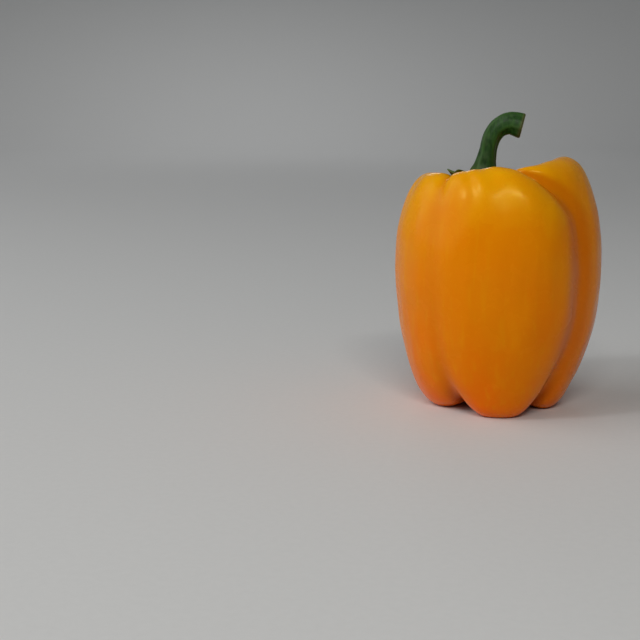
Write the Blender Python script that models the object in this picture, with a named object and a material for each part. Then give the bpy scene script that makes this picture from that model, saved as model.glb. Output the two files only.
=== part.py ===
"""Bell pepper: a four-lobed fruit, the calyx in its hollow, and a hooked stem.

Metres, +Z up. The pepper stands on its lobes on the plane z = 0, and its front faces -Y.
Angles round the fruit are in degrees from the front, growing towards +X.
"""
import math

import bmesh
import bpy
from mathutils import Vector

MM = 0.001

# Outline of the fruit along the middle of a lobe: (radius, height) in mm, evenly spaced along
# the skin from the blossom end, under the foot, up the side, over the shoulder and into the hollow.
CREST_OUTLINE = (
    (0.0, 10.0), (6.0, 8.0), (13.5, 2.2), (21.0, -0.7), (27.5, 2.0), (32.4, 10.5),
    (36.4, 24.0), (39.2, 40.0), (40.0, 54.0), (39.0, 68.0), (36.3, 80.0), (31.6, 88.5),
    (25.4, 91.6), (18.6, 89.3), (12.3, 84.0), (6.5, 81.3), (0.0, 80.8),
)
# The same outline along the bottom of a groove.
GROOVE_OUTLINE = (
    (0.0, 10.0), (5.0, 8.8), (10.5, 5.6), (16.5, 3.4), (23.0, 4.4), (29.2, 11.5),
    (34.3, 24.5), (37.5, 40.5), (38.4, 55.0), (37.2, 68.0), (34.5, 78.8), (29.8, 86.2),
    (23.6, 89.0), (17.5, 87.2), (12.0, 83.2), (6.5, 81.2), (0.0, 80.8),
)

# Angle of each groove at the bottom, the middle and the top of the fruit. Groove k is where
# lobe k starts: front, right, back, left.
GROOVE_ANGLES = ((-31.0, -39.0, -43.0), (42.0, 54.0, 10.0), (134.0, 143.0, 157.0), (225.0, 232.0, 222.0))
# How deep each groove is at the bottom, the middle and the top, as a share of the way from the
# crest's outline to the groove's.
GROOVE_DEPTHS = ((1.0, 0.6, 0.85), (0.95, 1.3, 1.6), (1.0, 1.0, 1.3), (1.0, 1.0, 1.2))
# Reach of each lobe at the bottom, the middle and the top, as a factor on the outline.
LOBE_REACH = ((1.01, 0.99, 1.00), (0.92, 0.995, 1.035), (0.97, 0.97, 0.95), (0.995, 1.00, 0.985))
# How much higher or lower than the outline each lobe's shoulder is, in mm.
SHOULDER_LIFT = (2.2, 6.0, -5.5, -0.6)
# Sideways drift of the fruit's axis from its middle to the hollow, in mm.
HOLLOW_SHIFT_X = -3.5
FLOOR_HEIGHT = 0.0

FRUIT_SEGMENTS = 96
FRUIT_RINGS = 56

# Calyx: a leafy disc that follows the hollow.
CALYX_GAP = 0.45
CALYX_EDGE_THICKNESS = 1.3
CALYX_BODY_THICKNESS = 2.2
CALYX_REACH = 0.150
CALYX_TIP_REACH = 0.030
CALYX_TIPS = 6
CALYX_TIP_ANGLE = -45.0
CALYX_LONG_TIP_REACH = 0.055
CALYX_LONG_TIP_WIDTH = 15.0
CALYX_LONG_TIP_CURL = 1.4
CALYX_SEGMENTS = 72
CALYX_RINGS = 14
COLLAR_CENTRE_X = -5.9
COLLAR_RADIUS = 6.2
COLLAR_SLOPE = 3.4
COLLAR_TOP = 87.2

# Stem: centre line (x, y, z) and radius, in mm, from the collar to the cut end.
STEM_GAP = 0.3
STEM_ROUTE = (
    ((COLLAR_CENTRE_X, 0.0, COLLAR_TOP + STEM_GAP), 5.8), ((COLLAR_CENTRE_X, 0.0, 90.6), 5.1),
    ((-5.7, -0.1, 94.3), 3.95), ((-5.1, -0.3, 99.6), 3.4), ((-4.0, -0.5, 104.4), 3.5),
    ((-1.4, -0.7, 108.4), 3.8), ((2.8, -0.8, 110.2), 4.3), ((7.3, -0.9, 109.2), 4.9),
)
STEM_STEPS = 3
STEM_BEVEL_RESOLUTION = 5

SMOOTH_ANGLE = math.radians(40.0)


def clear_scene():
    """Remove the objects of the scene that the script is run in."""
    for old in list(bpy.data.objects):
        bpy.data.objects.remove(old, do_unlink=True)


def new_collection(name):
    """Return a collection of that name, linked to the scene."""
    collection = bpy.data.collections.new(name)
    bpy.context.scene.collection.children.link(collection)
    return collection


def new_material(name, colour, roughness):
    """Return a non-metallic Principled material."""
    material = bpy.data.materials.new(name)
    material.use_nodes = True
    shader = material.node_tree.nodes["Principled BSDF"]
    shader.inputs["Base Color"].default_value = (*colour, 1.0)
    shader.inputs["Roughness"].default_value = roughness
    shader.inputs["Metallic"].default_value = 0.0
    return material


def smooth_step(low, high, value):
    """Rise from 0 at low to 1 at high, level at both ends."""
    part = min(max((value - low) / (high - low), 0.0), 1.0)
    return part * part * (3.0 - 2.0 * part)


def mix(first, second, part):
    return first * (1.0 - part) + second * part


def spline(points, place):
    """Point at place, 0 to 1, on the smooth curve through evenly spaced points."""
    spans = len(points) - 1
    scaled = min(max(place, 0.0), 1.0) * spans
    index = min(int(scaled), spans - 1)
    part = scaled - index
    result = []
    for axis in range(len(points[0])):
        before = points[max(index - 1, 0)][axis]
        start = points[index][axis]
        end = points[index + 1][axis]
        after = points[min(index + 2, spans)][axis]
        result.append(0.5 * (
            2.0 * start + (end - before) * part
            + (2.0 * before - 5.0 * start + 4.0 * end - after) * part ** 2
            + (3.0 * start - before - 3.0 * end + after) * part ** 3))
    return result


def by_height(values, place):
    """Blend a value for the bottom, the middle and the top along the outline."""
    bottom = 1.0 - smooth_step(0.22, 0.45, place)
    top = smooth_step(0.58, 0.80, place)
    return values[0] * bottom + values[1] * (1.0 - bottom - top) + values[2] * top


def find_lobe(angle, place):
    """Index of the lobe at an angle, and where in it: -1 and 1 in its grooves, 0 on its crest."""
    grooves = [by_height(angles, place) for angles in GROOVE_ANGLES]
    past = [(angle - groove) % 360.0 for groove in grooves]
    lobe = past.index(min(past))
    width = (grooves[(lobe + 1) % len(grooves)] - grooves[lobe]) % 360.0
    return lobe, 2.0 * past[lobe] / width - 1.0


def groove_depth(lobe, across, place):
    """0 on a lobe's crest to its full depth in its grooves, which are narrow creases on the side."""
    wide = 0.5 - 0.5 * math.cos(math.pi * across)
    side = 0.45 * wide ** 1.6 + 0.55 * wide ** 8
    crease = 0.25 * wide ** 3 + 0.75 * wide ** 30
    foot = 1.0 - smooth_step(0.18, 0.42, place)
    shoulder = smooth_step(0.62, 0.75, place)
    depth = side * (1.0 - foot - shoulder) + wide ** 2.4 * foot + crease * shoulder
    nearest = lobe if across < 0.0 else (lobe + 1) % len(GROOVE_DEPTHS)
    return depth * by_height(GROOVE_DEPTHS[nearest], place)


def fruit_point(angle, place):
    """Point on the skin in mm: angle round the fruit, place 0 to 1 along the outline."""
    lobe, across = find_lobe(angle, place)
    neighbour = (lobe + (1 if across > 0.0 else -1)) % len(LOBE_REACH)
    share = 0.5 * smooth_step(0.0, 1.0, abs(across))
    reach = mix(by_height(LOBE_REACH[lobe], place), by_height(LOBE_REACH[neighbour], place), share)
    lift = mix(SHOULDER_LIFT[lobe], SHOULDER_LIFT[neighbour], share)
    lift *= smooth_step(0.45, 0.75, place) * (1.0 - smooth_step(0.78, 0.96, place))
    depth = groove_depth(lobe, across, place)
    crest = spline(CREST_OUTLINE, place)
    groove = spline(GROOVE_OUTLINE, place)
    radius = mix(crest[0], groove[0], depth) * reach
    height = mix(crest[1], groove[1], depth) + lift
    turn = math.radians(angle)
    shift = HOLLOW_SHIFT_X * smooth_step(0.45, 1.0, place)
    return Vector((radius * math.sin(turn) + shift, -radius * math.cos(turn), max(height, FLOOR_HEIGHT)))


def polar(co):
    """Angle from the front, and place 0 to 1 from the bottom to the top, of a unit sphere's point."""
    angle = math.degrees(math.atan2(co.x, -co.y))
    place = 1.0 - math.acos(min(max(co.z, -1.0), 1.0)) / math.pi
    return angle, place


def add_object(name, data, material, collection, parent):
    """Link data as a named object with one material."""
    data.materials.append(material)
    piece = bpy.data.objects.new(name, data)
    piece.parent = parent
    collection.objects.link(piece)
    return piece


def reshaped_sphere(name, segments, rings, place_vertex, material, collection, parent):
    """A UV sphere whose every vertex is moved to place_vertex(unit position), in mm."""
    bm = bmesh.new()
    bmesh.ops.create_uvsphere(bm, u_segments=segments, v_segments=rings, radius=1.0)
    for vertex in bm.verts:
        vertex.co = place_vertex(vertex.co) * MM
    bmesh.ops.recalc_face_normals(bm, faces=bm.faces)
    mesh = bpy.data.meshes.new(name)
    bm.to_mesh(mesh)
    bm.free()
    mesh.shade_smooth()
    mesh.set_sharp_from_angle(angle=SMOOTH_ANGLE)
    return add_object(name, mesh, material, collection, parent)


def fruit_vertex(co):
    """Where a vertex of the unit sphere goes on the fruit."""
    return fruit_point(*polar(co))


def calyx_vertex(co):
    """Where a vertex of the unit sphere goes on the calyx, whose underside follows the hollow."""
    angle, place = polar(co)
    outward = math.sin(math.pi * place)
    tips = math.cos(math.radians(CALYX_TIPS * (angle - CALYX_TIP_ANGLE)))
    off_tip = (angle - CALYX_TIP_ANGLE + 180.0) % 360.0 - 180.0
    long_tip = math.exp(-(off_tip / CALYX_LONG_TIP_WIDTH) ** 2)
    reach = CALYX_REACH + CALYX_TIP_REACH * (0.5 + 0.5 * tips) ** 1.5 + CALYX_LONG_TIP_REACH * long_tip
    skin = fruit_point(angle, 1.0 - outward * reach)
    skin.z += CALYX_GAP + CALYX_LONG_TIP_CURL * long_tip * outward ** 6
    if place <= 0.5:
        return skin
    thickness = mix(CALYX_BODY_THICKNESS, CALYX_EDGE_THICKNESS, outward ** 2)
    leaf_height = skin.z + thickness * min(1.0, 6.0 * (1.0 - outward) + 0.25)
    from_stem = math.hypot(skin.x - COLLAR_CENTRE_X, skin.y)
    on_collar = 1.0 - smooth_step(COLLAR_RADIUS, COLLAR_RADIUS + COLLAR_SLOPE, from_stem)
    skin.z = mix(leaf_height, COLLAR_TOP, on_collar)
    return skin


def make_stem(material, collection, parent):
    """The stem is a tube along its route, thick at the collar and at the cut end, with flat caps."""
    data = bpy.data.curves.new("stem", "CURVE")
    data.dimensions = "3D"
    data.bevel_depth = MM
    data.bevel_resolution = STEM_BEVEL_RESOLUTION
    data.use_fill_caps = True
    route = [(*centre, radius) for centre, radius in STEM_ROUTE]
    count = (len(route) - 1) * STEM_STEPS + 1
    line = data.splines.new("POLY")
    line.points.add(count - 1)
    for index, point in enumerate(line.points):
        x, y, z, radius = spline(route, index / (count - 1))
        point.co = (x * MM, y * MM, z * MM, 1.0)
        point.radius = radius
    return add_object("stem", data, material, collection, parent)


def centre_on_origin(frame, piece):
    """Move the frame so that the piece's box is centred over the origin."""
    xs = [vertex.co.x for vertex in piece.data.vertices]
    ys = [vertex.co.y for vertex in piece.data.vertices]
    frame.location = (-(min(xs) + max(xs)) / 2.0, -(min(ys) + max(ys)) / 2.0, 0.0)


def main():
    clear_scene()
    collection = new_collection("bell_pepper")
    frame = bpy.data.objects.new("bell_pepper_frame", None)
    collection.objects.link(frame)
    skin = new_material("fruit_skin", (0.85, 0.42, 0.01), 0.28)
    leaf = new_material("calyx_green", (0.10, 0.22, 0.04), 0.55)
    stalk = new_material("stem_green", (0.09, 0.20, 0.05), 0.50)
    fruit = reshaped_sphere("fruit", FRUIT_SEGMENTS, FRUIT_RINGS, fruit_vertex, skin, collection, frame)
    reshaped_sphere("calyx", CALYX_SEGMENTS, CALYX_RINGS, calyx_vertex, leaf, collection, frame)
    make_stem(stalk, collection, frame)
    centre_on_origin(frame, fruit)


main()
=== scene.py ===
"""Bell pepper: the finished look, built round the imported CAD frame.

Lengths are in millimetres until a mesh is made, which is in metres. Angles round the fruit are in
degrees from the front (-Y), growing towards +X. "Place" runs from 0 at the blossom end, under the
feet, up the side and over the shoulder, to 1 in the middle of the hollow that holds the calyx.
"""
import math

import bpy
import numpy as np
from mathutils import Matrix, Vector, noise


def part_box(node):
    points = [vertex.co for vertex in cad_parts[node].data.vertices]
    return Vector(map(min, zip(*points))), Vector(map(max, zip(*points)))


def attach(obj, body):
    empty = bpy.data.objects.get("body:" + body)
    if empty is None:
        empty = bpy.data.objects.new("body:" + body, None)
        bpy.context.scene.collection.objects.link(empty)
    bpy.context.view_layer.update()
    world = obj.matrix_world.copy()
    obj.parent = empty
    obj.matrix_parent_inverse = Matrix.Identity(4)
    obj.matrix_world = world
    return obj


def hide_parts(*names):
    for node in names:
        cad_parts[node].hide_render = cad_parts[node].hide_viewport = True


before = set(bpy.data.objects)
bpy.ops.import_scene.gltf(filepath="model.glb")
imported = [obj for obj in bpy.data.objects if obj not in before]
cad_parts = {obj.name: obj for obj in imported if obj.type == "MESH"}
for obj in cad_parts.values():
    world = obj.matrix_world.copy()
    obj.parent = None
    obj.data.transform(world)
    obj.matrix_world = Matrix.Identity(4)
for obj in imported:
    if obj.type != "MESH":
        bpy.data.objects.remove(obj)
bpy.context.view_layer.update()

MM = 0.001

# --- The fruit, as in the CAD: outlines along the middle of a lobe and along a groove ------------
CREST_OUTLINE = (
    (0.0, 10.0), (6.0, 8.0), (13.5, 2.2), (21.0, -0.7), (27.5, 2.0), (32.4, 10.5),
    (36.4, 24.0), (39.2, 40.0), (40.0, 54.0), (39.0, 68.0), (36.3, 80.0), (31.6, 88.5),
    (25.4, 91.6), (18.6, 89.3), (12.3, 84.0), (6.5, 81.3), (0.0, 80.8),
)
GROOVE_OUTLINE = (
    (0.0, 10.0), (5.0, 8.8), (10.5, 5.6), (16.5, 3.4), (23.0, 4.4), (29.2, 11.5),
    (34.3, 24.5), (37.5, 40.5), (38.4, 55.0), (37.2, 68.0), (34.5, 78.8), (29.8, 86.2),
    (23.6, 89.0), (17.5, 87.2), (12.0, 83.2), (6.5, 81.2), (0.0, 80.8),
)
# Per groove, and per lobe (front, right, back, left): values at the bottom, middle and top.
GROOVE_ANGLES = (
    (-31.0, -39.0, -43.0), (42.0, 54.0, 10.0), (134.0, 143.0, 157.0), (225.0, 232.0, 222.0),
)
GROOVE_DEPTHS = ((1.0, 0.6, 0.85), (0.95, 1.3, 1.6), (1.0, 1.0, 1.3), (1.0, 1.0, 1.2))
LOBE_REACH = ((1.01, 0.99, 1.00), (0.92, 0.995, 1.035), (0.97, 0.97, 0.95), (0.995, 1.00, 0.985))
SHOULDER_LIFT = (2.2, 6.0, -5.5, -0.6)
HOLLOW_SHIFT_X = -3.5
HOLLOW_FLOOR = 80.8
BLOSSOM_SCAR_HEIGHT = 9.4
FRUIT_COLUMNS = 400
FRUIT_RINGS = 236

# --- The fine relief of the skin, heights in mm --------------------------------------------------
WIDE_LUMPS = 0.55
SMALL_LUMPS = 0.22
STREAK_RELIEF = 0.20
SHOULDER_CREASE = 0.55
FRONT_BULGE = 1.3
FRONT_FOLD = 0.9
FOOT_FOLD = 1.9
CALYX_PUCKER = 0.16
BLOSSOM_PUCKER = 0.10
# Where across each lobe (-1 to 1) its shoulder has a faint second crease.
SECOND_CREASES = (-0.36, 0.30, 0.20, 0.25)

# --- The calyx -----------------------------------------------------------------------------------
CALYX_REACH = 0.148
CALYX_TIP_REACH = 0.034
CALYX_TIPS = 6
CALYX_TIP_ANGLE = -45.0
CALYX_LONG_TIP_REACH = 0.060
CALYX_LONG_TIP_WIDTH = 17.0
CALYX_COLUMNS = 360
CALYX_UPPER_RINGS = 56
CALYX_LOWER_RINGS = 14
CALYX_GAP = 0.25
CALYX_THICK_MIDDLE = 1.9
CALYX_THICK_EDGE = 0.95
CALYX_VEIN = 0.55
CALYX_ROUGHNESS = 0.16
# Radial wrinkles: how many round the calyx, turned by how many degrees, and how high.
CALYX_WRINKLES = ((31.0, 0.0, 0.10), (53.0, 25.0, 0.06))
COLLAR_TOP = 87.5
COLLAR_INNER_RADIUS = 5.4
COLLAR_OUTER_RADIUS = 9.8
COLLAR_RING_RADIUS = 7.6
COLLAR_RING_HEIGHT = 0.25

# --- The stem: centre line (x, y, z) and radius, with a slightly wider foot than in the CAD ------
STEM_BASE_X = -5.9
STEM_ROUTE = (
    (STEM_BASE_X, 0.0, 86.4, 6.8), (-6.5, 0.0, 90.4, 5.7), (-6.0, -0.1, 94.3, 4.2),
    (-5.1, -0.3, 99.6, 3.4), (-4.0, -0.5, 104.4, 3.5), (-1.4, -0.7, 108.4, 3.8),
    (2.8, -0.8, 110.2, 4.3), (7.2, -0.9, 109.3, 4.75),
)
STEM_RIBS = 5
STEM_TWIST = 0.9
STEM_RIB_DEPTH_FOOT = 0.050
STEM_RIB_DEPTH_END = 0.035
STEM_ROUGHNESS = 0.10
STEM_COLUMNS = 120
STEM_RINGS = 150
# The cut end, from its edge inwards: share of the stem's radius, and height past the end in mm.
CUT_PROFILE = (
    (0.99, 0.22), (0.965, 0.44), (0.925, 0.60), (0.87, 0.68), (0.80, 0.60), (0.72, 0.34),
    (0.62, 0.06), (0.48, -0.14), (0.25, -0.24),
)
CUT_MIDDLE = -0.32

# --- Colours, linear RGB -------------------------------------------------------------------------
# From foot to shoulder these skin colours are partly painted light: the bright red foot stands for
# light bounced up from the floor, the yellow shoulder partly for the light from above.
SKIN_FOOT = (0.96, 0.135, 0.0003)
SKIN_LOW = (0.85, 0.205, 0.0004)
SKIN_HIGH = (0.84, 0.255, 0.0005)
SKIN_SHOULDER = (0.87, 0.380, 0.0010)
SKIN_STREAK = (0.86, 0.33, 0.003)
# Painted shade: dark red laid along the grooves.
SKIN_GROOVE_PAINTED_SHADE = (0.66, 0.125, 0.0005)
# Painted shade: near-black red in the folds between the feet.
SKIN_FOOT_FOLD_PAINTED_SHADE = (0.32, 0.030, 0.0005)
SKIN_NEAR_CALYX = (0.42, 0.36, 0.012)
SKIN_SPECK = (0.90, 0.48, 0.02)
SKIN_SCAR = (0.16, 0.085, 0.03)
LEAF_DARK = (0.020, 0.058, 0.009)
LEAF_MIDDLE = (0.036, 0.092, 0.013)
LEAF_PALE = (0.065, 0.140, 0.020)
LEAF_VEIN = (0.115, 0.200, 0.040)
LEAF_EDGE = (0.150, 0.190, 0.036)
STALK_DARK = (0.008, 0.034, 0.004)
STALK_MIDDLE = (0.015, 0.060, 0.007)
STALK_PALE = (0.034, 0.105, 0.014)
STALK_RIB = (0.046, 0.120, 0.018)
STALK_FOOT = (0.085, 0.105, 0.008)
STALK_PATCH = (0.060, 0.110, 0.034)
STALK_DRY_LIP = (0.10, 0.085, 0.03)
PITH_DARK = (0.22, 0.17, 0.075)
PITH_PALE = (0.40, 0.33, 0.16)
PAPER_DARK = (0.685, 0.69, 0.69)
PAPER_PALE = (0.70, 0.705, 0.705)
PAPER_UP_WALL = (0.50, 0.51, 0.515)

# --- The stage: a round floor, in metres, that sweeps up into a low wall -------------------------
STAGE_RADIUS = 2.0
STAGE_SWEEP = 1.2
STAGE_HEIGHT = 1.9
STAGE_SWEEP_STEPS = 24
STAGE_COLUMNS = 96

# --- Light and camera, in metres, watts and degrees ----------------------------------------------
SKY_COLOUR = (0.97, 0.99, 1.0)
SKY_STRENGTH = 0.13
PEPPER_MIDDLE = (0.0, 0.0, 0.05)
WHITE = (1.0, 1.0, 1.0)
WARM_WHITE = (1.0, 0.98, 0.92)
# Each light: name, place, the point it is aimed at, its two sides, its power and its colour.
SOFT_LIGHTS = (
    ("key", (-1.53, -0.44, 0.98), PEPPER_MIDDLE, (2.20, 1.80), 15.8, WHITE),
    ("pane", (-0.84, -0.64, 0.98), PEPPER_MIDDLE, (0.18, 0.18), 2.2, WHITE),
    ("glint", (0.12, -1.10, 0.98), PEPPER_MIDDLE, (0.66, 0.12), 6.4, WARM_WHITE),
    ("pool", (-0.50, 2.00, 1.00), (-0.50, 1.80, 0.0), (0.60, 0.60), 2.8, WHITE),
)
CAMERA_PLACE = (0.00017, -0.450, 0.122)
CAMERA_PITCH_DOWN = 11.3
CAMERA_TURN_LEFT = 8.93
CAMERA_SENSOR = 36.0
CAMERA_LENS = 64.3


# --- Shape helpers -------------------------------------------------------------------------------
def smooth_step(low, high, value):
    """Rise from 0 at low to 1 at high, level at both ends."""
    part = np.clip((value - low) / (high - low), 0.0, 1.0)
    return part * part * (3.0 - 2.0 * part)


def mix(first, second, part):
    return first * (1.0 - part) + second * part


def bump(value, centre, width):
    """1 at the centre, falling off smoothly to 0 over about two widths."""
    return np.exp(-((value - centre) / width) ** 2)


def spline(points, place):
    """Points at places 0 to 1 on the smooth curve through evenly spaced points."""
    points = np.array(points)
    spans = len(points) - 1
    scaled = np.clip(place, 0.0, 1.0) * spans
    index = np.minimum(scaled.astype(int), spans - 1)
    part = (scaled - index)[..., None]
    before = points[np.maximum(index - 1, 0)]
    start = points[index]
    end = points[index + 1]
    after = points[np.minimum(index + 2, spans)]
    return 0.5 * (
        2.0 * start + (end - before) * part
        + (2.0 * before - 5.0 * start + 4.0 * end - after) * part ** 2
        + (3.0 * start - before - 3.0 * end + after) * part ** 3)


def by_height(values, place):
    """Blend the values for the bottom, middle and top, on their last axis, along the outline."""
    bottom = 1.0 - smooth_step(0.22, 0.45, place)
    top = smooth_step(0.58, 0.80, place)
    return values[..., 0] * bottom + values[..., 1] * (1.0 - bottom - top) + values[..., 2] * top


def find_lobe(angle, place):
    """Index of each point's lobe, and where in it: -1 and 1 in its grooves, 0 on its crest."""
    grooves = np.stack([by_height(np.array(angles), place) for angles in GROOVE_ANGLES], axis=-1)
    past = (angle[..., None] - grooves) % 360.0
    lobe = past.argmin(axis=-1)
    start = np.take_along_axis(grooves, lobe[..., None], axis=-1)[..., 0]
    end = np.take_along_axis(grooves, ((lobe + 1) % len(GROOVE_ANGLES))[..., None], axis=-1)[..., 0]
    across = 2.0 * ((angle - start) % 360.0) / ((end - start) % 360.0) - 1.0
    return lobe, across


def groove_depth(lobe, across, place):
    """0 on a lobe's crest to the full depth in its grooves, which are narrow on the side."""
    wide = 0.5 - 0.5 * np.cos(np.pi * across)
    side = 0.45 * wide ** 1.6 + 0.55 * wide ** 8
    crease = 0.25 * wide ** 3 + 0.75 * wide ** 30
    foot = 1.0 - smooth_step(0.18, 0.42, place)
    shoulder = smooth_step(0.62, 0.75, place)
    depth = side * (1.0 - foot - shoulder) + wide ** 2.4 * foot + crease * shoulder
    nearest = np.where(across < 0.0, lobe, (lobe + 1) % len(GROOVE_DEPTHS))
    return depth * by_height(np.array(GROOVE_DEPTHS)[nearest], place)


def fruit_points(angle, place):
    """Points on the skin, before the fine detail."""
    lobe, across = find_lobe(angle, place)
    neighbour = (lobe + np.where(across > 0.0, 1, -1)) % len(LOBE_REACH)
    share = 0.5 * smooth_step(0.0, 1.0, np.abs(across))
    reaches = np.array(LOBE_REACH)
    lifts = np.array(SHOULDER_LIFT)
    reach = mix(by_height(reaches[lobe], place), by_height(reaches[neighbour], place), share)
    lift = mix(lifts[lobe], lifts[neighbour], share)
    lift = lift * smooth_step(0.45, 0.75, place) * (1.0 - smooth_step(0.78, 0.96, place))
    depth = groove_depth(lobe, across, place)[..., None]
    outline = mix(spline(CREST_OUTLINE, place), spline(GROOVE_OUTLINE, place), depth)
    radius = outline[..., 0] * reach
    turn = np.radians(angle)
    shift = HOLLOW_SHIFT_X * smooth_step(0.45, 1.0, place)
    height = outline[..., 1] + lift
    return np.stack([radius * np.sin(turn) + shift, -radius * np.cos(turn), height], axis=-1)


def grid_normals(points):
    """Outward unit normals of a grid of points: rings from the bottom up, columns anticlockwise."""
    along = np.gradient(points, axis=0)
    round_it = np.roll(points, -1, axis=1) - np.roll(points, 1, axis=1)
    normals = np.cross(round_it, along)
    return normals / np.maximum(np.linalg.norm(normals, axis=-1, keepdims=True), 1e-9)


def noise_at(points, wavelength, seed=0.0):
    """Smooth noise, about -1 to 1, at each point of a grid."""
    flat = points.reshape(-1, 3) / wavelength + seed
    values = [noise.noise(Vector(co)) for co in flat]
    return np.array(values).reshape(points.shape[:-1])


def add_attribute(mesh, name, values):
    """One value for each vertex, which a material can read by name."""
    attribute = mesh.attributes.new(name, "FLOAT", "POINT")
    attribute.data.foreach_set("value", values.astype(np.float32))


def uv_corners(*corners):
    """The UV values of a row of faces, face by face, from the (u, v) values of each corner."""
    pairs = [np.stack(np.broadcast_arrays(u, v), axis=-1) for u, v in corners]
    return np.stack(pairs, axis=1).reshape(-1, 2)


def ringed_mesh(name, rings, attributes, first_tip, last_tip, shift):
    """A closed mesh from rings of points and a tip at each end, with a UV map and attributes."""
    ring_count, column_count = rings.shape[:2]
    co = np.vstack([first_tip, rings.reshape(-1, 3), last_tip]) * MM + shift
    index = np.arange(ring_count * column_count).reshape(ring_count, column_count) + 1
    following = np.roll(index, -1, axis=1)
    last = len(co) - 1
    quads = np.stack([index[:-1], following[:-1], following[1:], index[1:]], axis=-1).reshape(-1, 4)
    first_fan = [(0, int(b), int(a)) for a, b in zip(index[0], following[0])]
    last_fan = [(last, int(a), int(b)) for a, b in zip(index[-1], following[-1])]
    mesh = bpy.data.meshes.new(name)
    mesh.from_pydata(co.tolist(), [], quads.tolist() + first_fan + last_fan)
    # One UV patch: columns across, rings up, kept a little inside the square.
    across = np.linspace(0.01, 0.99, column_count + 1)
    up = np.linspace(0.01, 0.99, ring_count + 2)
    column = np.tile(np.arange(column_count), ring_count - 1)
    row = np.repeat(np.arange(ring_count - 1), column_count) + 1
    left, right = across[:-1], across[1:]
    quad_uv = uv_corners(
        (left[column], up[row]), (right[column], up[row]),
        (right[column], up[row + 1]), (left[column], up[row + 1]))
    middle = (left + right) / 2.0
    first_uv = uv_corners((middle, up[0]), (right, up[1]), (left, up[1]))
    last_uv = uv_corners((middle, up[-1]), (left, up[-2]), (right, up[-2]))
    uv = np.concatenate([quad_uv, first_uv, last_uv])
    layer = mesh.uv_layers.new(name="OFBake")
    layer.data.foreach_set("uv", uv.astype(np.float32).ravel())
    for key, values in attributes.items():
        spread = np.concatenate([[values[0].mean()], values.ravel(), [values[-1].mean()]])
        add_attribute(mesh, key, spread)
    mesh.validate()
    mesh.shade_smooth()
    piece = bpy.data.objects.new(name, mesh)
    bpy.context.scene.collection.objects.link(piece)
    return piece


# --- The fruit -----------------------------------------------------------------------------------
def fruit_rings():
    """Angles and places of a grid over the skin, without its two end points."""
    places = np.linspace(0.0, 1.0, FRUIT_RINGS + 2)[1:-1]
    angles = np.arange(FRUIT_COLUMNS) * 360.0 / FRUIT_COLUMNS - 180.0
    return np.meshgrid(angles, places)


def shift_to_cad(points):
    """How far, in metres, the CAD's fruit is moved from the plain shape's own place."""
    low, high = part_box("fruit")
    middle = (points.min(axis=(0, 1)) + points.max(axis=(0, 1))) / 2.0 * MM
    return np.array([(low.x + high.x) / 2.0 - middle[0], (low.y + high.y) / 2.0 - middle[1], 0.0])


def fruit_relief(angle, place, points):
    """Height of the fine shape above the plain skin: lumps, faint ribs, creases and puckers."""
    lobe, across = find_lobe(angle, place)
    on_side = smooth_step(0.16, 0.30, place) * (1.0 - smooth_step(0.84, 0.92, place))
    relief = WIDE_LUMPS * noise_at(points, 26.0) * on_side
    relief += SMALL_LUMPS * noise_at(points, 11.0, 7.3) * on_side
    stretched = points * (1.0, 1.0, 0.16)
    relief += STREAK_RELIEF * noise_at(stretched, 5.0, 3.1) * on_side
    # Each lobe has a faint second crease on its shoulder, off its middle.
    second = np.array(SECOND_CREASES)[lobe]
    relief -= SHOULDER_CREASE * bump(across, second, 0.13) * bump(place, 0.70, 0.08)
    # The front lobe is full towards its right, and falls steeply into a deep fold there.
    by_front_fold = np.where(lobe == 0, 1.0 - across, np.where(lobe == 1, 1.0 + across, 2.0))
    full = bump(across, 0.42, 0.36) * bump(place, 0.56, 0.17)
    relief += np.where(lobe == 0, FRONT_BULGE * full, 0.0)
    relief -= FRONT_FOLD * bump(by_front_fold, 0.0, 0.15) * bump(place, 0.50, 0.20)
    # Every groove tightens into a fold between the feet.
    relief -= FOOT_FOLD * bump(1.0 - np.abs(across), 0.0, 0.15) * bump(place, 0.22, 0.085)
    # The skin puckers where it runs under the calyx, and round the blossom end.
    ripples = np.sin(np.radians(angle) * 23.0 + 2.0 * np.sin(np.radians(angle) * 3.0))
    relief += CALYX_PUCKER * ripples * bump(place, 0.845, 0.03)
    relief += BLOSSOM_PUCKER * np.sin(np.radians(angle) * 15.0 + 1.0) * bump(place, 0.035, 0.02)
    return relief


def make_fruit():
    """The skin at full detail, and the shift that puts all three pieces where the CAD's are."""
    angle, place = fruit_rings()
    points = fruit_points(angle, place)
    shift = shift_to_cad(points)
    points += grid_normals(points) * fruit_relief(angle, place, points)[..., None]
    points[..., 2] = np.maximum(points[..., 2], 0.0)
    lobe, across = find_lobe(angle, place)
    attributes = {"place": place, "groove": np.clip(groove_depth(lobe, across, place), 0.0, 1.0)}
    blossom_scar = (0.0, 0.0, BLOSSOM_SCAR_HEIGHT)
    hollow_middle = (HOLLOW_SHIFT_X, 0.0, HOLLOW_FLOOR)
    fruit = ringed_mesh("pepper_fruit", points, attributes, blossom_scar, hollow_middle, shift)
    return fruit, shift


# --- The calyx -----------------------------------------------------------------------------------
def calyx_reach(angle):
    """How far along the outline the calyx reaches; how near a tip and the long tip are, 0 to 1."""
    waver = 16.0 * np.sin(np.radians(angle * 2.0))
    phase = np.radians(CALYX_TIPS * (angle - CALYX_TIP_ANGLE) + waver)
    tips = (0.5 + 0.5 * np.cos(phase)) ** 1.3
    off_tip = (angle - CALYX_TIP_ANGLE + 180.0) % 360.0 - 180.0
    long_tip = bump(off_tip, 0.0, CALYX_LONG_TIP_WIDTH)
    uneven = 0.006 * np.sin(np.radians(angle * 5.0 + 40.0))
    uneven += 0.003 * np.sin(np.radians(angle * 13.0))
    reach = CALYX_REACH + CALYX_TIP_REACH * tips + CALYX_LONG_TIP_REACH * long_tip + uneven
    return reach, tips, long_tip


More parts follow.
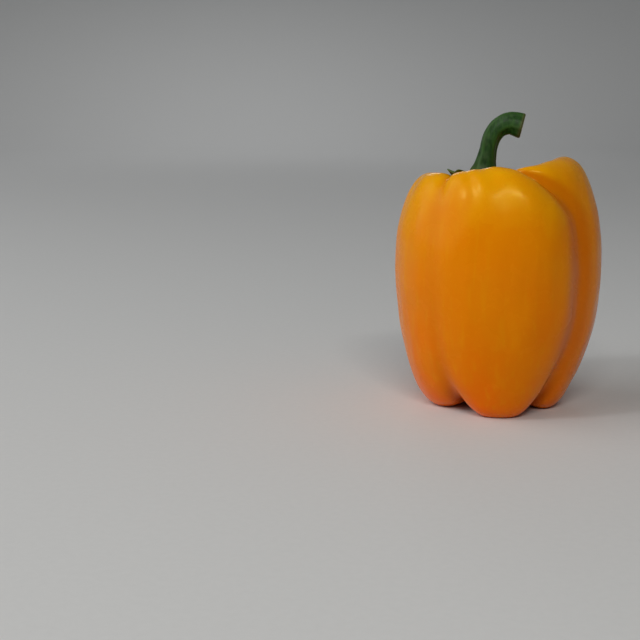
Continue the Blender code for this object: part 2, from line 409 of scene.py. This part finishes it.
def calyx_side(angle, outward, upper):
    """Points of the calyx's underside or upper side; outward is 0 in its middle, 1 at its edge."""
    reach, tips, long_tip = calyx_reach(angle)
    points = fruit_points(angle, 1.0 - outward * reach)
    curl = (0.25 + 0.45 * tips + 1.0 * long_tip) * outward ** 4
    points[..., 2] += CALYX_GAP + curl
    if not upper:
        return points
    edge = np.sqrt(np.clip(1.0 - outward ** 6, 0.0, 1.0))
    thickness = mix(CALYX_THICK_MIDDLE, CALYX_THICK_EDGE, smooth_step(0.45, 0.95, outward)) * edge
    along_vein = smooth_step(0.30, 0.55, outward) * (1.0 - smooth_step(0.85, 1.0, outward))
    vein = bump(1.0 - tips, 0.0, 0.10) * along_vein
    wrinkle = sum(
        height * np.sin(np.radians(angle * count + turned))
        for count, turned, height in CALYX_WRINKLES)
    wrinkle = wrinkle * smooth_step(0.30, 0.5, outward) * (1.0 - smooth_step(0.8, 1.0, outward))
    points[..., 2] += thickness + CALYX_VEIN * vein + wrinkle
    # The middle rises in a collar that the stem grows out of, with a ring round its foot.
    from_stem = np.hypot(points[..., 0] - STEM_BASE_X, points[..., 1])
    turn = np.arctan2(points[..., 1], points[..., 0] - STEM_BASE_X)
    lobed = 1.0 + 0.06 * np.cos(STEM_RIBS * turn)
    on_collar = 1.0 - smooth_step(COLLAR_INNER_RADIUS, COLLAR_OUTER_RADIUS, from_stem * lobed)
    ring = COLLAR_RING_HEIGHT * bump(from_stem, COLLAR_RING_RADIUS, 0.8)
    points[..., 2] = mix(points[..., 2], COLLAR_TOP, on_collar) + ring
    return points


def make_calyx(shift):
    """The leafy crown that lies in the hollow: one closed piece, thin and curled at the edge."""
    columns = np.arange(CALYX_COLUMNS) * 360.0 / CALYX_COLUMNS - 180.0
    lower = np.sin(np.linspace(0.02, 1.0, CALYX_LOWER_RINGS) * math.pi / 2.0)
    upper = np.sin(np.linspace(0.985, 0.03, CALYX_UPPER_RINGS) * math.pi / 2.0)
    sides = []
    for outward, is_upper in ((lower, False), (upper, True)):
        angle, along = np.meshgrid(columns, outward)
        sides.append((calyx_side(angle, along, is_upper), along))
    points = np.concatenate([side[0] for side in sides])
    edge = np.concatenate([side[1] for side in sides])
    on_top = np.concatenate([np.zeros_like(sides[0][1]), np.ones_like(sides[1][1])])
    angle = np.tile(columns, (len(points), 1))
    tips = calyx_reach(angle)[1]
    points[..., 2] += CALYX_ROUGHNESS * noise_at(points, 3.2, 1.7) * on_top
    low_tip = (HOLLOW_SHIFT_X, 0.0, HOLLOW_FLOOR + CALYX_GAP)
    high_tip = points[-1].mean(axis=0)
    attributes = {"edge": edge, "vein": bump(1.0 - tips, 0.0, 0.12)}
    return ringed_mesh("pepper_calyx", points, attributes, low_tip, high_tip, shift)


# --- The stem ------------------------------------------------------------------------------------
def stem_frames(place):
    """Centre, radius, direction and two unit vectors across the stem, at each place on it."""
    route = spline(STEM_ROUTE, place)
    centre = route[..., :3]
    direction = np.gradient(centre, axis=0)
    direction /= np.linalg.norm(direction, axis=-1, keepdims=True)
    side = np.cross(direction, (0.0, 1.0, 0.0))
    side /= np.linalg.norm(side, axis=-1, keepdims=True)
    front = np.cross(direction, side)
    return centre, route[..., 3], direction, side, front


def across_stem(turn, side, front):
    """Unit vectors straight out of the stem, at angles round it."""
    return np.cos(turn)[..., None] * side + np.sin(turn)[..., None] * front


def make_stem(shift):
    """The ribbed stalk: swept, flared into the collar, with a lipped and sunken cut end."""
    place = np.linspace(0.0, 1.0, STEM_RINGS)
    centre, radius, direction, side, front = stem_frames(place)
    turn = np.linspace(0.0, 2.0 * math.pi, STEM_COLUMNS, endpoint=False)
    along, around = np.meshgrid(place, turn, indexing="ij")
    twisted = around + STEM_TWIST * along
    ribs = np.cos(STEM_RIBS * twisted) + 0.35 * np.cos((STEM_RIBS + 4) * twisted + 1.0)
    depth = mix(STEM_RIB_DEPTH_FOOT, STEM_RIB_DEPTH_END, smooth_step(0.6, 1.0, along))
    reach = radius[:, None] * (1.0 + depth * ribs)
    outward = across_stem(around, side[:, None, :], front[:, None, :])
    rings = [centre[:, None, :] + reach[..., None] * outward]
    cut = [np.zeros_like(around)]
    # The cut end: a rounded lip, then a face that sinks a little towards the pith.
    for share, rise in CUT_PROFILE:
        ring = centre[-1] + direction[-1] * rise + reach[-1][:, None] * share * outward[-1]
        rings.append(ring[None])
        cut.append(np.full((1, STEM_COLUMNS), smooth_step(1.0, 0.85, share)))
    points = np.concatenate(rings)
    cut = np.concatenate(cut)
    rough = STEM_ROUGHNESS * noise_at(points, 2.4, 5.0) * (1.0 - cut)
    points += grid_normals(points) * rough[..., None]
    progress = np.concatenate([along, np.ones((len(CUT_PROFILE), STEM_COLUMNS))])
    rib = np.concatenate([ribs, np.tile(ribs[-1], (len(CUT_PROFILE), 1))])
    end_tip = centre[-1] + direction[-1] * CUT_MIDDLE
    attributes = {"cut": cut, "along": progress, "rib": rib}
    return ringed_mesh("pepper_stem", points, attributes, centre[0], end_tip, shift)


# --- Materials -----------------------------------------------------------------------------------
class Shader:
    """A Principled material that is put together node by node."""

    def __init__(self, name):
        self.material = bpy.data.materials.new(name)
        self.material.use_nodes = True
        self.nodes = self.material.node_tree.nodes
        self.links = self.material.node_tree.links
        self.principled = self.nodes["Principled BSDF"]

    def set(self, **values):
        """Constant values, set on the shader's own sockets."""
        for key, value in values.items():
            self.principled.inputs[key.replace("_", " ")].default_value = value

    def link(self, output, socket):
        self.links.new(output, self.principled.inputs[socket])

    def coordinates(self, stretch=(1.0, 1.0, 1.0)):
        source = self.nodes.new("ShaderNodeTexCoord")
        mapping = self.nodes.new("ShaderNodeMapping")
        mapping.inputs["Scale"].default_value = stretch
        self.links.new(source.outputs["Object"], mapping.inputs["Vector"])
        return mapping.outputs["Vector"]

    def noise(self, size, detail=3.0, roughness=0.5, stretch=(1.0, 1.0, 1.0)):
        """Noise whose features are about size millimetres wide."""
        node = self.nodes.new("ShaderNodeTexNoise")
        node.inputs["Scale"].default_value = 1.0 / (size * MM)
        node.inputs["Detail"].default_value = detail
        node.inputs["Roughness"].default_value = roughness
        self.links.new(self.coordinates(stretch), node.inputs["Vector"])
        return node.outputs["Fac"]

    def cells(self, size):
        """Distance to the nearest of many scattered points, about size millimetres apart."""
        node = self.nodes.new("ShaderNodeTexVoronoi")
        node.inputs["Scale"].default_value = 1.0 / (size * MM)
        self.links.new(self.coordinates(), node.inputs["Vector"])
        return node.outputs["Distance"]

    def attribute(self, name):
        node = self.nodes.new("ShaderNodeAttribute")
        node.attribute_name = name
        return node.outputs["Fac"]

    def ramp(self, value, low, high, start=0.0, end=1.0):
        """Map value from low..high to start..end, clamped and smooth."""
        node = self.nodes.new("ShaderNodeMapRange")
        node.interpolation_type = "SMOOTHSTEP"
        self.links.new(value, node.inputs["Value"])
        limits = {"From Min": low, "From Max": high, "To Min": start, "To Max": end}
        for key, number in limits.items():
            node.inputs[key].default_value = number
        return node.outputs["Result"]

    def colours(self, value, stops):
        """Colour ramp from (position, (r, g, b)) stops."""
        node = self.nodes.new("ShaderNodeValToRGB")
        elements = node.color_ramp.elements
        while len(elements) < len(stops):
            elements.new(0.5)
        for element, (position, colour) in zip(elements, stops):
            element.position = position
            element.color = (*colour, 1.0)
        self.links.new(value, node.inputs["Fac"])
        return node.outputs["Color"]

    def blend(self, first, second, factor):
        """Mix two colours: first is an output, second an output or an (r, g, b) value."""
        node = self.nodes.new("ShaderNodeMix")
        node.data_type = "RGBA"
        self.links.new(first, node.inputs["A"])
        if isinstance(second, tuple):
            node.inputs["B"].default_value = (*second, 1.0)
        else:
            self.links.new(second, node.inputs["B"])
        self.links.new(factor, node.inputs["Factor"])
        return node.outputs["Result"]

    def maths(self, operation, first, second):
        node = self.nodes.new("ShaderNodeMath")
        node.operation = operation
        for socket, value in zip(node.inputs, (first, second)):
            if isinstance(value, (int, float)):
                socket.default_value = value
            else:
                self.links.new(value, socket)
        return node.outputs["Value"]

    def bumps(self, heights):
        """Stack (height output, distance in mm) pairs as bump and link them to the normal."""
        normal = None
        for height, distance in heights:
            node = self.nodes.new("ShaderNodeBump")
            node.inputs["Distance"].default_value = distance * MM
            self.links.new(height, node.inputs["Height"])
            if normal is not None:
                self.links.new(normal, node.inputs["Normal"])
            normal = node.outputs["Normal"]
        self.link(normal, "Normal")


def fruit_skin():
    """Waxy golden skin with streaks: yellow on the shoulders and orange below, partly painted
    light, with painted shade in the grooves and the folds between the feet.
    """
    skin = Shader("pepper_skin")
    skin.set(Specular_IOR_Level=0.22, Specular_Tint=(1.0, 0.86, 0.16, 1.0))
    skin.set(Coat_Weight=0.02, Coat_Roughness=0.12, Coat_IOR=1.4)
    skin.set(Subsurface_Weight=0.12, Subsurface_Radius=(1.0, 0.45, 0.08), Subsurface_Scale=0.004)
    place = skin.attribute("place")
    drift = skin.ramp(skin.noise(24.0, 2.0), 0.3, 0.7, -0.06, 0.06)
    # Foot to shoulder, orange-red to yellow: partly the skin's own tone, partly painted light,
    # brighter red at the foot for floor bounce and yellower on the lit shoulders.
    colour = skin.colours(skin.maths("ADD", place, drift), (
        (0.14, SKIN_FOOT), (0.38, SKIN_LOW), (0.58, SKIN_HIGH), (0.74, SKIN_SHOULDER)))
    streaks = skin.noise(2.2, 3.0, 0.5, (1.0, 1.0, 0.10))
    colour = skin.blend(colour, SKIN_STREAK, skin.ramp(streaks, 0.50, 0.72, 0.0, 0.25))
    groove = skin.attribute("groove")
    # Painted shade: the grooves darken to a deep red towards their floors.
    colour = skin.blend(colour, SKIN_GROOVE_PAINTED_SHADE, skin.ramp(groove, 0.40, 1.0, 0.0, 0.62))
    # Painted shade: low down, the folds between the feet are darkened to a deep red-brown.
    near_foot = skin.ramp(place, 0.22, 0.36, 0.85, 0.0)
    painted_shade_in_foot_fold = skin.maths("MULTIPLY", skin.ramp(groove, 0.62, 1.0), near_foot)
    colour = skin.blend(colour, SKIN_FOOT_FOLD_PAINTED_SHADE, painted_shade_in_foot_fold)
    # A breath of green where the skin runs under the calyx.
    near_calyx = skin.ramp(place, 0.80, 0.88, 0.0, 0.35)
    colour = skin.blend(colour, SKIN_NEAR_CALYX, near_calyx)
    specks = skin.ramp(skin.cells(1.3), 0.0, 0.30, 0.14, 0.0)
    colour = skin.blend(colour, SKIN_SPECK, specks)
    scar = skin.ramp(place, 0.008, 0.020, 0.9, 0.0)
    colour = skin.blend(colour, SKIN_SCAR, scar)
    skin.link(colour, "Base Color")
    skin.link(skin.ramp(skin.noise(9.0, 4.0), 0.3, 0.7, 0.22, 0.30), "Roughness")
    skin.bumps([(skin.noise(1.6, 1.0), 0.010), (streaks, 0.04)])
    return skin.material


def calyx_green():
    """Dull mottled leaf, paler along the veins and at the thin edge."""
    leaf = Shader("calyx_leaf")
    leaf.set(Specular_IOR_Level=0.35)
    leaf.set(Subsurface_Weight=0.08, Subsurface_Radius=(0.4, 1.0, 0.15), Subsurface_Scale=0.002)
    mottle = leaf.noise(3.0, 4.0, 0.6)
    colour = leaf.colours(mottle, ((0.30, LEAF_DARK), (0.50, LEAF_MIDDLE), (0.72, LEAF_PALE)))
    vein = leaf.ramp(leaf.attribute("vein"), 0.2, 1.0, 0.0, 0.45)
    colour = leaf.blend(colour, LEAF_VEIN, vein)
    edge = leaf.ramp(leaf.attribute("edge"), 0.90, 1.0, 0.0, 0.55)
    colour = leaf.blend(colour, LEAF_EDGE, edge)
    leaf.link(colour, "Base Color")
    leaf.link(leaf.ramp(mottle, 0.3, 0.7, 0.46, 0.62), "Roughness")
    leaf.bumps([(leaf.noise(0.7, 3.0), 0.05), (mottle, 0.12)])
    return leaf.material


def stem_green():
    """Stalk: dark green, paler on its ribs, olive at the foot, dry and tan on the cut end."""
    stalk = Shader("stem_stalk")
    stalk.set(Specular_IOR_Level=0.25)
    stalk.set(Subsurface_Weight=0.06, Subsurface_Radius=(0.4, 1.0, 0.15), Subsurface_Scale=0.002)
    along = stalk.attribute("along")
    fibres = stalk.noise(0.9, 3.0, 0.55, (1.0, 1.0, 0.22))
    colour = stalk.colours(fibres, ((0.28, STALK_DARK), (0.50, STALK_MIDDLE), (0.74, STALK_PALE)))
    rib = stalk.ramp(stalk.attribute("rib"), 0.2, 1.3, 0.0, 0.40)
    colour = stalk.blend(colour, STALK_RIB, rib)
    foot = stalk.ramp(along, 0.10, 0.34, 0.60, 0.0)
    colour = stalk.blend(colour, STALK_FOOT, foot)
    patches = stalk.ramp(stalk.noise(5.0, 2.0), 0.52, 0.70, 0.0, 0.45)
    colour = stalk.blend(colour, STALK_PATCH, patches)
    dry_lip = stalk.ramp(along, 0.955, 1.0, 0.0, 0.55)
    colour = stalk.blend(colour, STALK_DRY_LIP, dry_lip)
    pith = stalk.colours(stalk.noise(1.2, 4.0), ((0.3, PITH_DARK), (0.7, PITH_PALE)))
    colour = stalk.blend(colour, pith, stalk.ramp(stalk.attribute("cut"), 0.2, 0.9))
    stalk.link(colour, "Base Color")
    stalk.link(stalk.ramp(fibres, 0.3, 0.7, 0.40, 0.56), "Roughness")
    stalk.bumps([(fibres, 0.10), (stalk.noise(0.35, 2.0), 0.03)])
    return stalk.material


def floor_material():
    """Pale matt paper, a little darker up the wall."""
    paper = Shader("pale_paper")
    paper.set(Specular_IOR_Level=0.2, Roughness=0.75)
    colour = paper.colours(paper.noise(2.5), ((0.3, PAPER_DARK), (0.7, PAPER_PALE)))
    up_wall = paper.ramp(paper.attribute("height"), 0.10, 0.90)
    paper.link(paper.blend(colour, PAPER_UP_WALL, up_wall), "Base Color")
    return paper.material


# --- Stage, light and camera ---------------------------------------------------------------------
def make_floor():
    """A pale floor that sweeps up all round, far from the object, so that no view shows its end."""
    sweep = np.linspace(0.0, math.pi / 2.0, STAGE_SWEEP_STEPS)
    flat = STAGE_RADIUS * np.linspace(0.02, 1.0, STAGE_SWEEP_STEPS)[:-1]
    swept_out = STAGE_RADIUS + STAGE_SWEEP * np.sin(sweep)
    swept_up = STAGE_SWEEP * (1.0 - np.cos(sweep))
    radius = np.concatenate([flat, swept_out, [STAGE_RADIUS + STAGE_SWEEP]])
    height = np.concatenate([np.zeros_like(flat), swept_up, [STAGE_HEIGHT]])
    turn = np.linspace(0.0, 2.0 * math.pi, STAGE_COLUMNS, endpoint=False)
    x = np.outer(radius, np.cos(turn)).ravel()
    y = np.outer(radius, np.sin(turn)).ravel()
    z = np.repeat(height, STAGE_COLUMNS)
    index = np.arange(len(z)).reshape(len(radius), STAGE_COLUMNS)
    following = np.roll(index, -1, axis=1)
    quads = np.stack([index[:-1], index[1:], following[1:], following[:-1]], axis=-1).reshape(-1, 4)
    mesh = bpy.data.meshes.new("floor")
    points = np.stack([x, y, z], axis=-1)
    mesh.from_pydata(points.tolist(), [], quads.tolist() + [index[0].tolist()])
    add_attribute(mesh, "height", z)
    mesh.shade_smooth()
    mesh.materials.append(floor_material())
    floor = bpy.data.objects.new("floor", mesh)
    bpy.context.scene.collection.objects.link(floor)


def soft_light(name, place, target, sides, watts, colour):
    """A rectangular area light at place, aimed at target."""
    light = bpy.data.lights.new(name, "AREA")
    light.shape = "RECTANGLE"
    light.size, light.size_y = sides
    light.energy = watts
    light.color = colour
    lamp = bpy.data.objects.new(name, light)
    lamp.location = place
    lamp.rotation_euler = (Vector(target) - Vector(place)).to_track_quat("-Z", "Y").to_euler()
    bpy.context.scene.collection.objects.link(lamp)


def light_scene():
    """Soft light: a wide one at the left with a bright pane, a slim front one and a far pool."""
    world = bpy.data.worlds.new("studio")
    world.use_nodes = True
    background = world.node_tree.nodes["Background"]
    background.inputs["Color"].default_value = (*SKY_COLOUR, 1.0)
    background.inputs["Strength"].default_value = SKY_STRENGTH
    bpy.context.scene.world = world
    for light in SOFT_LIGHTS:
        soft_light(*light)


def aim_camera():
    """The main view: a little above the shoulder, the pepper right of the frame's middle."""
    camera = bpy.data.cameras.new("camera")
    camera.sensor_width = CAMERA_SENSOR
    camera.lens = CAMERA_LENS
    view = bpy.data.objects.new("camera", camera)
    view.location = CAMERA_PLACE
    tilt = math.radians(90.0 - CAMERA_PITCH_DOWN)
    view.rotation_euler = (tilt, 0.0, math.radians(CAMERA_TURN_LEFT))
    bpy.context.scene.collection.objects.link(view)
    bpy.context.scene.camera = view


# --- Putting it together -------------------------------------------------------------------------
def main():
    aim_camera()
    light_scene()
    make_floor()
    bpy.context.scene.view_settings.view_transform = "Standard"
    fruit, shift = make_fruit()
    calyx = make_calyx(shift)
    stem = make_stem(shift)
    dressed = (
        (fruit, "fruit", "fruit_skin", fruit_skin()),
        (calyx, "calyx", "calyx_green", calyx_green()),
        (stem, "stem", "stem_green", stem_green()),
    )
    for piece, node, slot, material in dressed:
        piece.data.materials.append(material)
        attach(piece, "root")
        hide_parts(node)


main()
